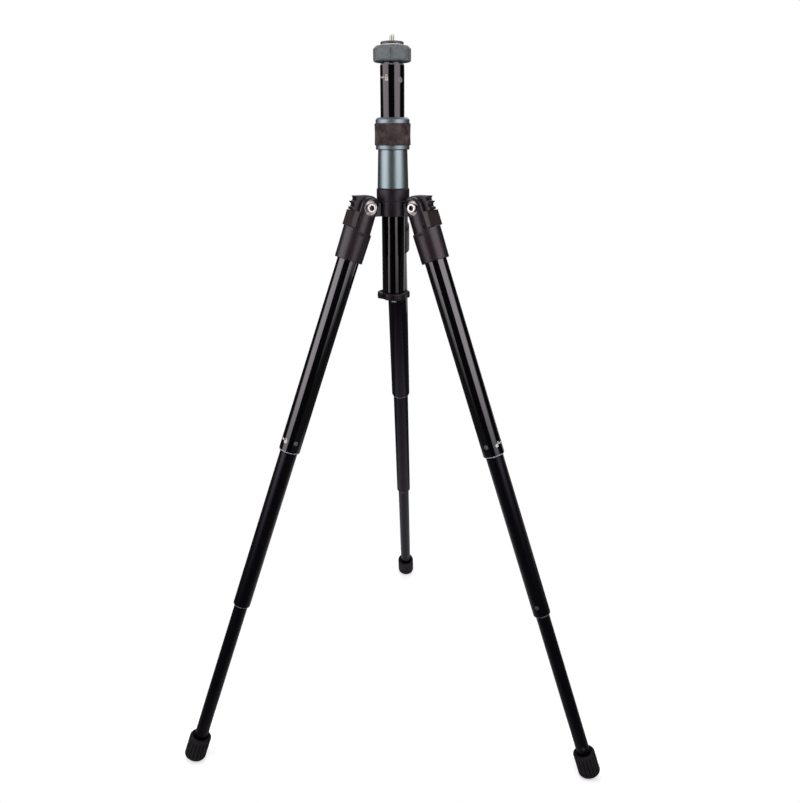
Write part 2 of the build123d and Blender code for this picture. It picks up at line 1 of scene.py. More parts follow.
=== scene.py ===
# %% [markdown]
# # An indoor camera tripod
# The solids of the tripod are already packed as a frame: hub, knuckles, tubes, feet. This lesson loads
# them, puts a camera where the photographer stood, lights them like a small studio, and gives each
# surface its finish. What is too fine for the solids is modelled here: the thread of the camera stud,
# the coils of the latch springs, the ribs of the rubber grip, the printed lock marks and the foot pegs.

# %% Load the solids
import json
from math import cos, pi, radians, sin

import bpy
from mathutils import Matrix, Vector


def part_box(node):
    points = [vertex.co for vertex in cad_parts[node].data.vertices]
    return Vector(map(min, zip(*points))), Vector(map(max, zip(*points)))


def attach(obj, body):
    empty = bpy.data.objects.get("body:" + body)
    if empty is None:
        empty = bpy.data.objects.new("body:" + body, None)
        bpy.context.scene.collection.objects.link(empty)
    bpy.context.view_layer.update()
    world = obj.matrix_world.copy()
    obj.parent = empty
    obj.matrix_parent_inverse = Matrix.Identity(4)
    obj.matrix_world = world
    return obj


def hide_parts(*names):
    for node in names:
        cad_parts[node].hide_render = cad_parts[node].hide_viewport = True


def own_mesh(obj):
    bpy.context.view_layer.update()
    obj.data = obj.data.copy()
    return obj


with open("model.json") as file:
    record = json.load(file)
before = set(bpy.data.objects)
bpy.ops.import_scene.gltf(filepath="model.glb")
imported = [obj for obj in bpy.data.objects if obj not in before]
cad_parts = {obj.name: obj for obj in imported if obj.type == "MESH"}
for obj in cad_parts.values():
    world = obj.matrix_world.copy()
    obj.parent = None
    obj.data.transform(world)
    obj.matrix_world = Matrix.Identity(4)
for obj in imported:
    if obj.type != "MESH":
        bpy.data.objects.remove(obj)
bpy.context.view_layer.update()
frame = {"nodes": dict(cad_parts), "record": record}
nodes = frame["nodes"]
leg_names = ("rear", "left", "right")
scene = bpy.context.scene
scene.view_settings.view_transform = "Standard"
bpy.ops.object.select_all(action="DESELECT")

# %% [markdown]
# ## Camera
# The photograph is taken from a little below the top of the tripod, looking down. Its place, tilt and
# focal length were found by fitting the edges of the tubes, so the numbers are written as they came out.

# %% Camera
photo_width_px = 800
focal_length_px = 710.7
sensor_width_mm = 36.0
camera_place = (0.0634, -0.9589, 0.8656)
camera_heading = radians(3.305)
camera_pitch = radians(20.343)
camera_roll = radians(-0.222)
bpy.ops.object.camera_add(location=camera_place)
camera = bpy.context.object
camera.name = "photo_camera"
turn = Matrix.Rotation(camera_heading, 3, "Z") @ Matrix.Rotation(pi / 2 - camera_pitch, 3, "X")
camera.rotation_euler = (turn @ Matrix.Rotation(camera_roll, 3, "Z")).to_euler()
camera.data.sensor_fit = "HORIZONTAL"
camera.data.sensor_width = sensor_width_mm
camera.data.lens = focal_length_px * sensor_width_mm / photo_width_px
scene.camera = camera
print("lens", round(camera.data.lens, 2))

# %% [markdown]
# ## Shader maths
# A finish is a small network of nodes. Written by hand that is a lot of clicking, so one class wraps a
# node's output and lets ordinary sums build the Math nodes. Every other node comes from one method, and a
# few short methods on top of it stand for the nodes that come up again and again.


# %% Signals
class Signal:
    """One output of a node. Sums of signals add Math nodes."""

    def __init__(self, finish, socket):
        self.finish = finish
        self.socket = socket

    def math(self, operation, *others):
        inputs = dict(enumerate((self, *others)))
        return self.finish.node("Math", {"operation": operation}, inputs)

    def __add__(self, other):
        return self.math("ADD", other)

    def __mul__(self, other):
        return self.math("MULTIPLY", other)

    def __sub__(self, other):
        return self.math("SUBTRACT", other)

    def __rsub__(self, other):
        return self.finish.node("Math", {"operation": "SUBTRACT"}, {0: other, 1: self})

    def __gt__(self, other):
        return self.math("GREATER_THAN", other)

    def __lt__(self, other):
        return self.math("LESS_THAN", other)

    __radd__ = __add__
    __rmul__ = __mul__


# %% Node trees
class Finish:
    """One node tree that is being built: a material's, a lamp's or the world's."""

    def __init__(self, tree):
        self.tree = tree
        self.tree.nodes.clear()

    def node(self, kind, settings=None, inputs=None, out=0):
        """Adds a node, sets it up, fills or links its sockets, and gives one of its outputs."""
        made = self.tree.nodes.new("ShaderNode" + kind)
        for name, setting in (settings or {}).items():
            setattr(made, name, setting)
        for name, value in (inputs or {}).items():
            if isinstance(value, Signal):
                self.tree.links.new(value.socket, made.inputs[name])
            else:
                made.inputs[name].default_value = value
        return Signal(self, made.outputs[out]) if made.outputs else None

    def place(self):
        """The point on the surface, in metres, in the tripod's frame."""
        return self.node("TexCoord", out="Object")

    def place_in(self, stand):
        """The point on the surface, in the frame that a matrix sets up."""
        inputs = {"Vector": self.place(), "Location": stand.translation, "Rotation": stand.to_euler()}
        return self.node("Mapping", {"vector_type": "TEXTURE"}, inputs)

    def axis(self, vector, name):
        """One of a point's three coordinates."""
        return self.node("SeparateXYZ", {}, {"Vector": vector}, out=name)

    def length(self, vector):
        return self.node("VectorMath", {"operation": "LENGTH"}, {0: vector}, out="Value")

    def stretched(self, vector, stretch):
        return self.node("VectorMath", {"operation": "MULTIPLY"}, {0: vector, 1: stretch})

    def from_axis(self, vector):
        """How far a point is from the Z axis."""
        return self.length(self.stretched(vector, (1, 1, 0)))

    def ramp(self, value, start, end, low=0.0, high=1.0, smooth=False):
        """Goes from low to high while a value goes from start to end."""
        settings = {"interpolation_type": "SMOOTHSTEP"} if smooth else {}
        inputs = {"Value": value, "From Min": start, "From Max": end, "To Min": low, "To Max": high}
        return self.node("MapRange", settings, inputs)

    def noise(self, vector, scale, detail):
        return self.node("TexNoise", {}, {"Vector": vector, "Scale": scale, "Detail": detail})

    def blend(self, amount, first, second):
        """A colour between two colours."""
        settings = {"data_type": "RGBA", "clamp_factor": True}
        return self.node("Mix", settings, {0: amount, 6: first, 7: second}, out=2)

    def bump(self, height, strength, distance):
        inputs = {"Height": height, "Strength": strength, "Distance": distance}
        return self.node("Bump", {}, inputs)


# %% The start and the end of a finish
def new_finish(name):
    material = bpy.data.materials.new(name)
    material.use_nodes = True
    return material, Finish(material.node_tree)


def surface(finish, **sockets):
    """Ends a finish in a Principled shader. Underscores in names stand for spaces."""
    inputs = {name.replace("_", " "): value for name, value in sockets.items()}
    shader = finish.node("BsdfPrincipled", {}, inputs)
    finish.node("OutputMaterial", {}, {"Surface": shader})


def tint(colour, share=1.0):
    """A colour as a socket takes it, made darker or lighter by a share."""
    return (*[share * part for part in colour], 1)


# %% [markdown]
# ## White room
# The room behind the tripod is white to the camera. In reflections it is only faint, or the edges of the
# black tubes would turn grey, so the world asks what kind of ray looks at it.

# %% World
white = (1, 1, 1, 1)
room_light = 0.015
far_white = 0.06
white_from = 0.3
white_full = 0.9
world = bpy.data.worlds.new("studio")
scene.world = world
world.use_nodes = True


def white_seen(finish, mirrored_share, lighting_share):
    """How much of the white a ray sees: all of it from the camera, and less by way of metal or glass."""
    kinds = ("Camera", "Glossy", "Transmission")
    ray = {kind: finish.node("LightPath", out=f"Is {kind} Ray") for kind in kinds}
    mirrored = ray["Glossy"].math("MAXIMUM", ray["Transmission"])
    return ray["Camera"].math("MAXIMUM", mirrored * mirrored_share).math("MAXIMUM", lighting_share)


studio = Finish(world.node_tree)
depth = studio.axis(studio.node("TexCoord", out="Generated"), "Y")
behind = studio.ramp(depth, white_from, white_full)
brightness = white_seen(studio, behind * far_white, room_light)
backdrop = studio.node("Background", {}, {"Color": white, "Strength": brightness})
studio.node("OutputWorld", {}, {"Surface": backdrop})
print("room light", room_light, "white in reflections", far_white)

# %% [markdown]
# ## Paper floor
# The tripod stands on white paper. In reflections and in the light that it throws back, its colour is
# painted brighter at the back and dimmer towards the camera, a painted fall-off of light that shows on the
# tubes that lean over it. The paper fades into the white of the room, where only a white board far to the
# right is brighter in reflections, and draws a thin line on the rear leg. A folded leg reaches below the
# floor, so the paper is clear to the camera and to shadows except round the feet's places.

# %% Floor
paper_size = 12.0
paper_place = (0, 4.0, -0.0005)
bpy.ops.mesh.primitive_plane_add(size=paper_size, location=paper_place)
paper = bpy.context.object
paper.name = "paper_floor"
bpy.ops.object.transform_apply(location=True, rotation=True, scale=True)
paper_material, paper_finish = new_finish("white_paper")
paper.data.materials.append(paper_material)
print("paper", tuple(paper.dimensions))

# %% Paper near the tripod
paper_white = 0.93
paper_lift = 0.53
dim_place, bright_place = -0.35, 0.2
dim_front, bright_back = 0.1, 0.85
floor_point = paper_finish.place()
floor_side = paper_finish.axis(floor_point, "X")
floor_back = paper_finish.axis(floor_point, "Y")
# Painted light: in reflections and bounce light, the paper ramps from dim in front to bright at the back.
paper_painted_light = paper_finish.ramp(floor_back, dim_place, bright_place, dim_front, bright_back)
paper_seen = white_seen(paper_finish, paper_painted_light, paper_painted_light) * paper_white
channels = {name: paper_seen for name in ("Red", "Green", "Blue")}
lit = paper_finish.node("BsdfDiffuse", {}, {"Color": paper_finish.node("CombineColor", {}, channels)})
lift_seen = white_seen(paper_finish, 0, 0) * paper_lift
lift = paper_finish.node("Emission", {}, {"Color": white, "Strength": lift_seen})
near = paper_finish.node("AddShader", {}, {0: lit, 1: lift})
print("paper in reflections", dim_front, "in front,", bright_back, "at the back")

# %% White farther off
near_reach, far_reach = 0.40, 0.62
board_white = 0.8
board_left, board_right = 1.2, 2.4
board_lean, board_line = 0.6, 1.85
beside = (floor_side > board_left) * (floor_side < board_right)
board = (floor_side + board_lean * floor_back > board_line) * beside
far_seen = white_seen(paper_finish, far_white + board * board_white, room_light)
far = paper_finish.node("Emission", {}, {"Color": white, "Strength": far_seen})
fading = paper_finish.ramp(paper_finish.length(floor_point), near_reach, far_reach, smooth=True)
sheet = paper_finish.node("MixShader", {}, {0: fading, 1: near, 2: far})
print("paper fades from", near_reach, "to", far_reach, "m")

# %% Clear paper away from the feet
foot_room, clear_from = 0.07, 0.13
distances = []
for leg in leg_names:
    low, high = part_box(f"{leg}_leg_foot")
    inputs = {0: floor_point, 1: ((low.x + high.x) / 2, (low.y + high.y) / 2, 0)}
    distances.append(paper_finish.node("VectorMath", {"operation": "DISTANCE"}, inputs, out="Value"))
nearest = distances[0].math("MINIMUM", distances[1]).math("MINIMUM", distances[2])
away = paper_finish.ramp(nearest, foot_room, clear_from, smooth=True)
camera_ray = paper_finish.node("LightPath", out="Is Camera Ray")
shadow_ray = paper_finish.node("LightPath", out="Is Shadow Ray")
sight = camera_ray.math("MAXIMUM", shadow_ray)
clear = paper_finish.node("BsdfTransparent", {}, {"Color": white})
ground = paper_finish.node("MixShader", {}, {0: away * sight, 1: sheet, 2: clear})
paper_finish.node("OutputMaterial", {}, {"Surface": ground})
print("paper is clear", clear_from, "m from the feet")

# %% [markdown]
# ## Lamps
# Two large soft boxes draw one pale stripe down each side of every tube. A soft box is bright in its middle
# and fades towards its lower end and its outer side, so its lamp gets a small network of its own. Three
# plain boxes in front, above and behind light the upward faces and the rims.

# %% Soft boxes
aim_height = 0.8
outer_lean = 0.9
outer_dark, outer_full = 0.42, 0.15


def soft_box(name, azimuth, distance, height, size, watts):
    """A soft box that faces the tripod. Azimuth 0 is towards the camera, to the right is positive."""
    spot = Vector((sin(radians(azimuth)) * distance, -cos(radians(azimuth)) * distance, height))
    bpy.ops.object.light_add(type="AREA", location=spot)
    lamp = bpy.context.object
    lamp.name = name
    lamp.data.shape = "RECTANGLE"
    lamp.data.size, lamp.data.size_y = size
    lamp.data.energy = watts
    lamp.rotation_euler = (Vector((0, 0, aim_height)) - spot).to_track_quat("-Z", "Y").to_euler()
    print(name, watts, "W")
    return lamp


def fade_lamp(lamp, dark_end, full_end, outer_side):
    """Fades a soft box towards its lower end, and along a line that leans over its outer side."""
    lamp.data.use_nodes = True
    glow = Finish(lamp.data.node_tree)
    spot = glow.node("NewGeometry", out="Parametric")
    across = glow.axis(spot, "X")
    upward = glow.axis(spot, "Y")
    outward = across if outer_side > 0 else 1 - across
    lower = glow.ramp(upward, dark_end, full_end, smooth=True)
    outer = glow.ramp(outward - outer_lean * upward, outer_dark, outer_full, smooth=True)
    light = glow.node("Emission", {}, {"Color": white, "Strength": lower * outer})
    glow.node("OutputLight", {}, {"Surface": light})


# %% Lamps
left_box = soft_box(
    "left_soft_box", azimuth=-68, distance=0.85, height=0.8, size=(1.17, 1.4), watts=14.5)
right_box = soft_box(
    "right_soft_box", azimuth=56, distance=0.85, height=0.8, size=(1.06, 1.4), watts=13.5)
fade_lamp(left_box, dark_end=0.04, full_end=0.5, outer_side=-1)
fade_lamp(right_box, dark_end=0.14, full_end=0.56, outer_side=1)
soft_box("front_soft_box", azimuth=4, distance=1.5, height=2.3, size=(1.6, 1.0), watts=7)
soft_box("top_soft_box", azimuth=170, distance=0.6, height=2.3, size=(2.2, 2.2), watts=10)
soft_box("rear_soft_box", azimuth=180, distance=1.2, height=1.75, size=(1.5, 1.0), watts=9)

# %% [markdown]
# ## Finishes of the tubes
# The outer tubes are drawn and anodised glossy black. Fine lines run along them from drawing, and
# handling leaves faint smears, so the roughness wanders a little. The thinner tubes are more satin. The
# rear leg's gloss is given less shine as painted shade for its place farther from the lamps, and it shines
# in violet. A picture of brushed metal would stretch on a tube, so a noise that is drawn out along the
# tube makes the lines. A leg leans, so a Mapping node turns the pattern with it.

# %% Leg places
joints = {joint["name"]: joint for joint in frame["record"]["behaviour"]["joints"]}


def leg_matrix(leg):
    """From a leg's own frame, Z up along its tubes and Y along its pivot, to the tripod's frame."""
    upward = -Vector(joints[f"{leg}_middle_slide"]["axis"])
    across = Vector(joints[f"{leg}_leg_fold"]["axis"])
    turn = Matrix((across.cross(upward), across, upward)).transposed()
    return Matrix.Translation(joints[f"{leg}_middle_twist"]["pos_m"]) @ turn.to_4x4()


def leg_points(leg, piece):
    """The points of one solid of a leg, in the leg's own frame."""
    into_leg = leg_matrix(leg).inverted()
    return [into_leg @ vertex.co for vertex in nodes[f"{leg}_leg_{piece}"].data.vertices]


for leg in leg_names:
    print(leg, "leg at", [round(part, 4) for part in leg_matrix(leg).translation])

# %% Tube finish
line_scale = 2600
line_stretch = (1, 1, 0.01)
line_depth = 0.0002
smear_scale = 38
smear_stretch = (1, 1, 0.35)
smear_lift = 1.5
anodised_ior = 1.6


def tube_finish(name, leg, colour, look, shine, sheen):
    """Black anodising with lines along a leg, or along the column where no leg is named.

    A look is a roughness and how far the smears change it.
    """
    material, finish = new_finish(name)
    point = finish.place_in(leg_matrix(leg)) if leg else finish.place()
    lines = finish.noise(finish.stretched(point, line_stretch), line_scale, detail=3)
    smears = finish.noise(finish.stretched(point, smear_stretch), smear_scale, detail=4)
    shade = finish.blend(smears, tint(colour), tint(colour, smear_lift))
    roughness, smear = look
    rough = roughness + smear * (smears - 0.5) + 0.5 * smear * (lines - 0.5)
    relief = finish.bump(lines, strength=0.05, distance=line_depth)
    surface(
        finish, Base_Color=shade, Roughness=rough, Normal=relief, IOR=anodised_ior,
        Specular_IOR_Level=shine, Specular_Tint=sheen)
    return material


# %% Tube finishes
warm_sheen = (1.0, 0.87, 0.93, 1)
cool_sheen = (1.0, 0.93, 1.0, 1)
violet_sheen = (0.88, 0.74, 1.0, 1)
gloss_black = (0.0009, 0.0007, 0.0011)
satin_black = (0.001, 0.0009, 0.0013)
gloss_look = (0.08, 0.03)
satin_look = (0.29, 0.08)
column_shine = 0.54
front_shine = 0.77
# Painted shade: the rear leg's gloss shines less, standing in for less light reaching it.
rear_painted_dim_shine = 0.5
satin_shine = 0.31
column_black = tube_finish(
    "gloss_black_column", None, gloss_black, gloss_look, column_shine, warm_sheen)
gloss_finishes = {}
satin_finishes = {}
for leg in leg_names:
    shine, sheen = (rear_painted_dim_shine, violet_sheen) if leg == "rear" else (front_shine, cool_sheen)
    gloss_finishes[leg] = tube_finish(
        f"gloss_black_{leg}_leg", leg, gloss_black, gloss_look, shine, sheen)
    satin_finishes[leg] = tube_finish(
        f"satin_black_{leg}_leg", leg, satin_black, satin_look, satin_shine, violet_sheen)
print("tube finishes", 1 + len(gloss_finishes) + len(satin_finishes))

# %% [markdown]
# ## Turned metal
# The sleeve and the lock collar are turned on a lathe and anodised blue-grey, the collar a little duller.
# Turning leaves fine rings round the axis, which smear a reflection up and down. A noise that hardly
# changes across the axis makes them. The stud and the springs are bright and only lightly turned, the
# screw under the column is dull, and the latch pins are blackened.

# %% Turned metal
anodised_grey = (0.213, 0.25, 0.272)
anodised_rings = 5200
steel_rings = 3000
ring_stretch = (0.02, 0.02, 1)
ring_depth = 0.0002


def turned_finish(name, colour, roughness, ring_scale):
    """Metal with fine rings round an upright axis."""
    material, finish = new_finish(name)
    point = finish.place()
    rings = finish.noise(finish.stretched(point, ring_stretch), ring_scale, detail=3)
    cloud = finish.noise(point, scale=60, detail=3)
    shade = finish.blend(cloud, tint(colour, 0.94), tint(colour, 1.06))
    rough = roughness + 0.16 * (rings - 0.5) + 0.06 * (cloud - 0.5)
    relief = finish.bump(rings, strength=0.06, distance=ring_depth)
    surface(finish, Base_Color=shade, Metallic=1.0, Roughness=rough, Normal=relief)
    return material


blue_grey = turned_finish("blue_grey_anodised", anodised_grey, roughness=0.39, ring_scale=anodised_rings)
collar_grey = turned_finish("blue_grey_collar", anodised_grey, roughness=0.47, ring_scale=anodised_rings)
bright_steel = turned_finish("bright_steel", (0.42, 0.405, 0.39), roughness=0.22, ring_scale=steel_rings)
dull_steel = turned_finish("dull_steel", (0.5, 0.5, 0.52), roughness=0.5, ring_scale=steel_rings)
dark_steel = turned_finish("blackened_steel", (0.03, 0.029, 0.03), roughness=0.5, ring_scale=steel_rings)
nickel = turned_finish("bright_nickel", (0.62, 0.575, 0.545), roughness=0.25, ring_scale=steel_rings)
metals = (blue_grey, collar_grey, bright_steel, dull_steel, dark_steel, nickel)
print("turned metal", [material.name for material in metals])

# %% [markdown]
# ## Steel of the pivots
# The washers and screw heads of a leg's pivot are turned about the pivot, so a lamp draws a bow tie on
# them: bright across, dim above and below. The rings are a noise of the distance from the pivot's axis.
# The washers are cloudy and darker than the heads. The floor of a hexagon socket is
# darkened by its place, a painted shade for the little light that reaches it.

# %% Pivot steel
pivot_grey = (0.52, 0.49, 0.465)
socket_painted_shade = (0.05, 0.028, 0.024)
head_reach = 0.0064
socket_reach = 0.0041
socket_rim = 0.0002
washer_share = 0.55
washer_clouds = 1.8
pivot_rings = 5000
pivot_ring_depth = 0.0003


def pivot_finish(leg):
    """Steel turned about a leg's pivot, with painted shade inside the hexagon sockets."""
    fold = joints[f"{leg}_leg_fold"]
    turn = Vector(fold["axis"]).to_track_quat("Z", "Y").to_matrix()
    stand = Matrix.Translation(fold["pos_m"]) @ turn.to_4x4()
    into_pivot = stand.inverted()
    bolt = nodes[f"{leg}_leg_pivot_bolt"].data
    head_face = max(abs((into_pivot @ vertex.co).z) for vertex in bolt.vertices)
    material, finish = new_finish(f"turned_steel_{leg}_pivot")
    point = finish.place_in(stand)
    level = finish.axis(point, "Z").math("ABSOLUTE")
    radius = finish.from_axis(point)
    rings_in = {"W": radius, "Scale": pivot_rings, "Detail": 2.0}
    rings = finish.node("TexNoise", {"noise_dimensions": "1D"}, rings_in)
    cloud = finish.noise(point, scale=240, detail=3)
    in_socket = (radius < socket_reach) * (level < head_face - socket_rim)
    on_head = radius < head_reach
    on_washer = radius > head_reach
    bright = washer_share + (1 - washer_share) * on_head + washer_clouds * (cloud - 0.5) * on_washer
    shade = finish.blend(bright, (0, 0, 0, 1), tint(pivot_grey))
    # Painted shade: the floor of each socket is darkened, made duller and not metallic.
    shade = finish.blend(in_socket, shade, tint(socket_painted_shade))
    rough = 0.2 + 0.2 * (cloud - 0.5) + 0.3 * in_socket
    relief = finish.bump(rings, strength=0.35, distance=pivot_ring_depth)
    surface(finish, Base_Color=shade, Metallic=1 - in_socket, Roughness=rough, Normal=relief)
    return material


pivot_finishes = {leg: pivot_finish(leg) for leg in leg_names}
print("pivot finishes", len(pivot_finishes))

# %% [markdown]
# ## Moulded plastic and rubber
# The hub is moulded black plastic with a fine spark-eroded grain. The latches are a little greyer and
# duller. The ring under the platform is matte grey and finely mottled. Rubber is dull and blotchy, with
# dust in it. Pits give the grain, and a slow noise makes each colour wander.

# %% Plastic and rubber
dust_scale = 210
dust_amount = 0.5


def moulded_finish(name, colour, roughness, grain, depth, mottle=0.15, patches=45, shine=0.5, dust=None):
    """Plastic or rubber from a mould, with dust in it where a colour of dust is given."""
    material, finish = new_finish(name)
    point = finish.place()
    pits = finish.noise(point, grain, detail=3)
    cloud = finish.ramp(finish.noise(point, patches, detail=4), 0.35, 0.65)
    shade = finish.blend(cloud, tint(colour, 1 - mottle), tint(colour, 1 + mottle))
    if dust:
        dusty = finish.ramp(finish.noise(point, dust_scale, detail=6), 0.5, 0.8)
        shade = finish.blend(dusty * dust_amount, shade, tint(dust))
    rough = roughness + 0.14 * (pits - 0.5) + 0.1 * (cloud - 0.5)
    relief = finish.bump(pits, strength=0.25, distance=depth)
    surface(
        finish, Base_Color=shade, Roughness=rough, Normal=relief, Specular_IOR_Level=shine,
        Specular_Tint=warm_sheen)
    return material


hub_plastic = moulded_finish(
    "black_moulded_hub", (0.0065, 0.004, 0.0075), roughness=0.38, grain=3200, depth=0.00015, shine=0.42)
latch_plastic = moulded_finish(
    "dark_grey_moulded", (0.024, 0.0155, 0.016), roughness=0.4, grain=2600, depth=0.0002)
ring_plastic = moulded_finish(
    "matte_grey_ring", (0.125, 0.142, 0.15), roughness=0.6, grain=2400, depth=0.00025, mottle=0.2,
    patches=420)
pale_bush = moulded_finish(
    "pale_grey_bush", (0.17, 0.165, 0.185), roughness=0.45, grain=2600, depth=0.0001)
peg_plastic = moulded_finish(
    "dark_grey_peg", (0.045, 0.044, 0.05), roughness=0.45, grain=2600, depth=0.0001)
natural_plug = moulded_finish(
    "natural_nylon", (0.5, 0.48, 0.43), roughness=0.5, grain=1800, depth=0.0001)
grip_rubber = moulded_finish(
    "brown_black_rubber", (0.076, 0.055, 0.057), roughness=0.75, grain=1500, depth=0.0003, mottle=0.55,
    patches=110, shine=0.12, dust=(0.13, 0.1, 0.09))
moulded = (hub_plastic, latch_plastic, ring_plastic, pale_bush, peg_plastic, natural_plug, grip_rubber)
print("moulded", [material.name for material in moulded])

# %% [markdown]
# ## Platform
# The platform is a dark disc, and below it a low foot of pale metal shows as a bright line. Both belong to
# one solid, so the finish tells them apart by their height.

# %% Platform
pale_foot_height = 0.0018
platform_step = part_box("platform")[0].z + pale_foot_height
disc_dark, disc_light = (0.05, 0.049, 0.05), (0.074, 0.072, 0.073)
pale_metal = (0.88, 0.87, 0.84)


def platform_finish():
    """A black disc on a pale metal foot."""
    material, finish = new_finish("black_disc_on_pale_foot")
    point = finish.place()
    pits = finish.noise(point, scale=2400, detail=3)
    cloud = finish.noise(point, scale=120, detail=3)
    foot = finish.axis(point, "Z") < platform_step
    disc = finish.blend(cloud, tint(disc_dark), tint(disc_light))
    shade = finish.blend(foot, disc, tint(pale_metal))
    rough = 0.42 + 0.2 * (pits - 0.5) + 0.1 * (cloud - 0.5)
    relief = finish.bump(pits, strength=0.2, distance=0.0001)
    surface(finish, Base_Color=shade, Roughness=rough, Normal=relief)
    return material


disc_on_foot = platform_finish()
print("platform step at", round(platform_step, 4))

# %% [markdown]
# ## Bushes of the legs
# A plastic bush in the lower end of the upper and of the middle tube guides the next tube. It shows twice:
# as a lip under the end of its tube, and as two round bosses in the tube's wall. The lip is painted much
# paler than the bosses, a painted highlight for the floor's light on it. The finish reads the place of the
# tube's end from the tube's own mesh, so the lip ends where the tube does.

# %% Bushes of the legs
# Each tier gives the bosses' grey, then the lip's grey, which is painted paler as a painted highlight.
bush_greys = {"upper": (0.13, 0.46), "middle": (0.085, 0.24)}
lip_overlap = 0.0002


def cool_grey(level):
    """A grey with a touch of blue."""
    return (level, 0.98 * level, 1.08 * level, 1)


def bush_finish(leg, tier):
    """Grey bosses, and a lip under the end of its tube that is painted paler, a painted highlight."""
    boss_grey, lip_painted_light_grey = bush_greys[tier]
    material, finish = new_finish(f"grey_{tier}_bush_{leg}_leg")
    point = finish.place_in(leg_matrix(leg))
    pits = finish.noise(point, scale=2600, detail=3)
    cloud = finish.noise(point, scale=200, detail=3)
    tube_end = min(spot.z for spot in leg_points(leg, f"{tier}_tube"))
    lip = finish.axis(point, "Z") < tube_end + lip_overlap
    boss = finish.blend(cloud, cool_grey(0.85 * boss_grey), cool_grey(1.15 * boss_grey))
    # Painted highlight: the lip takes its much paler grey.
    shade = finish.blend(lip, boss, cool_grey(lip_painted_light_grey))
    rough = 0.45 + 0.14 * (pits - 0.5) + 0.1 * (cloud - 0.5)
    relief = finish.bump(pits, strength=0.12, distance=0.0001)
    surface(finish, Base_Color=shade, Roughness=rough, Normal=relief)
    return material


bush_finishes = {(leg, tier): bush_finish(leg, tier) for leg in leg_names for tier in bush_greys}
print("bush finishes", len(bush_finishes))

# %% [markdown]
# ## Feet and knuckles
# The ribs of a rubber foot are rubbed grey, and the grooves between them stay dark, so the colour follows
# the distance from the leg's axis. A knuckle is moulded like the hub, but paler. On its inner side, a dark
# and dull band of painted shade lies on the rounded step above the socket of the tube.

# %% Feet
groove_reach = 0.0007
groove_black = (0.006, 0.0052, 0.006)
rubbed_grey = (0.03, 0.027, 0.03)
foot_shine = 0.3


def foot_finish(leg):
    """Rubber with ribs that are rubbed grey and darker grooves between them."""
    material, finish = new_finish(f"ribbed_rubber_{leg}_foot")
    point = finish.place_in(leg_matrix(leg))
    pits = finish.noise(point, scale=1800, detail=3)
    cloud = finish.noise(point, scale=160, detail=4)
    outside = max(spot.xy.length for spot in leg_points(leg, "foot"))
    rib = finish.ramp(finish.from_axis(point), outside - groove_reach, outside)
    shade = finish.blend(rib * (0.4 + 1.2 * cloud), tint(groove_black), tint(rubbed_grey))
    rough = 0.66 + 0.14 * (pits - 0.5)
    relief = finish.bump(pits, strength=0.25, distance=0.0003)
    surface(
        finish, Base_Color=shade, Roughness=rough, Normal=relief, Specular_IOR_Level=foot_shine,
        Specular_Tint=violet_sheen)
    return material


foot_finishes = {leg: foot_finish(leg) for leg in leg_names}
print("foot finishes", len(foot_finishes))

# %% Knuckles
knuckle_dark, knuckle_light = (0.0106, 0.0064, 0.0102), (0.0144, 0.0086, 0.0138)
# Painted shade for the band above the knuckle's step.
step_shade_black = (0.004, 0.003, 0.004)
knuckle_step_drop = 0.0352
step_shade_reach = 0.0026
step_shade_most = 0.85
step_shade_none_at, step_shade_full_at = 0.007, 0.002


def knuckle_finish(leg):
    """Black plastic with a dull band of painted shade on the inner side of the step above the tube socket.
    """
    material, finish = new_finish(f"black_moulded_{leg}_knuckle")
    point = finish.place_in(leg_matrix(leg))
    pits = finish.noise(point, scale=3200, detail=3)
    cloud = finish.noise(point, scale=45, detail=4)
    pivot = leg_matrix(leg).inverted() @ Vector(joints[f"{leg}_leg_fold"]["pos_m"])
    rise = finish.axis(point, "Z") - (pivot.z - knuckle_step_drop)
    band = finish.ramp(rise.math("ABSOLUTE"), step_shade_reach, 0.4 * step_shade_reach, smooth=True)
    inner = finish.ramp(finish.axis(point, "X"), step_shade_none_at, step_shade_full_at, high=step_shade_most)
    # Painted shade: a dark, dull band on the inner side of the step above the socket.
    step_shade = band * inner
    shade = finish.blend(cloud, tint(knuckle_dark), tint(knuckle_light))
    shade = finish.blend(step_shade, shade, tint(step_shade_black))
    rough = 0.36 + 0.14 * (pits - 0.5) + 0.1 * (cloud - 0.5) + 0.45 * step_shade
    relief = finish.bump(pits, strength=0.25, distance=0.00015)
    surface(finish, Base_Color=shade, Roughness=rough, Normal=relief, Specular_Tint=warm_sheen)
    return material


knuckle_finishes = {leg: knuckle_finish(leg) for leg in leg_names}
print("knuckle finishes", len(knuckle_finishes))

# %% [markdown]
# ## Dressing the solids
# Most pieces of the legs, and a few others, have a finish of their own, which is looked up by the solid's
# name. The record names a material slot for every solid, and the rest take the finish of their slot.

# %% Dress the solids
finish_of_slot = {
    "black_anodised": column_black,
    "black_plastic": hub_plastic,
    "latch_plastic": latch_plastic,
    "grey_plastic": ring_plastic,
    "grey_anodised": blue_grey,
    "bush_plastic": pale_bush,
    "lock_plastic": natural_plug,
    "rubber": grip_rubber,
    "steel": bright_steel,
}
finish_of_node = {"lock_collar": collar_grey, "end_cap_screw": dull_steel, "platform": disc_on_foot}
for leg in leg_names:
    own_finishes = {
        "upper_tube": gloss_finishes[leg],
        "middle_tube": satin_finishes[leg],
        "lower_tube": satin_finishes[leg],
        "upper_bush": bush_finishes[leg, "upper"],
        "middle_bush": bush_finishes[leg, "middle"],
        "pivot_bolt": pivot_finishes[leg],
        "pivot_barrel": pivot_finishes[leg],
        "pivot_washers": pivot_finishes[leg],
        "latch_pin": dark_steel,
        "foot": foot_finishes[leg],
        "knuckle": knuckle_finishes[leg],
    }
    finish_of_node.update({f"{leg}_leg_{piece}": own for piece, own in own_finishes.items()})
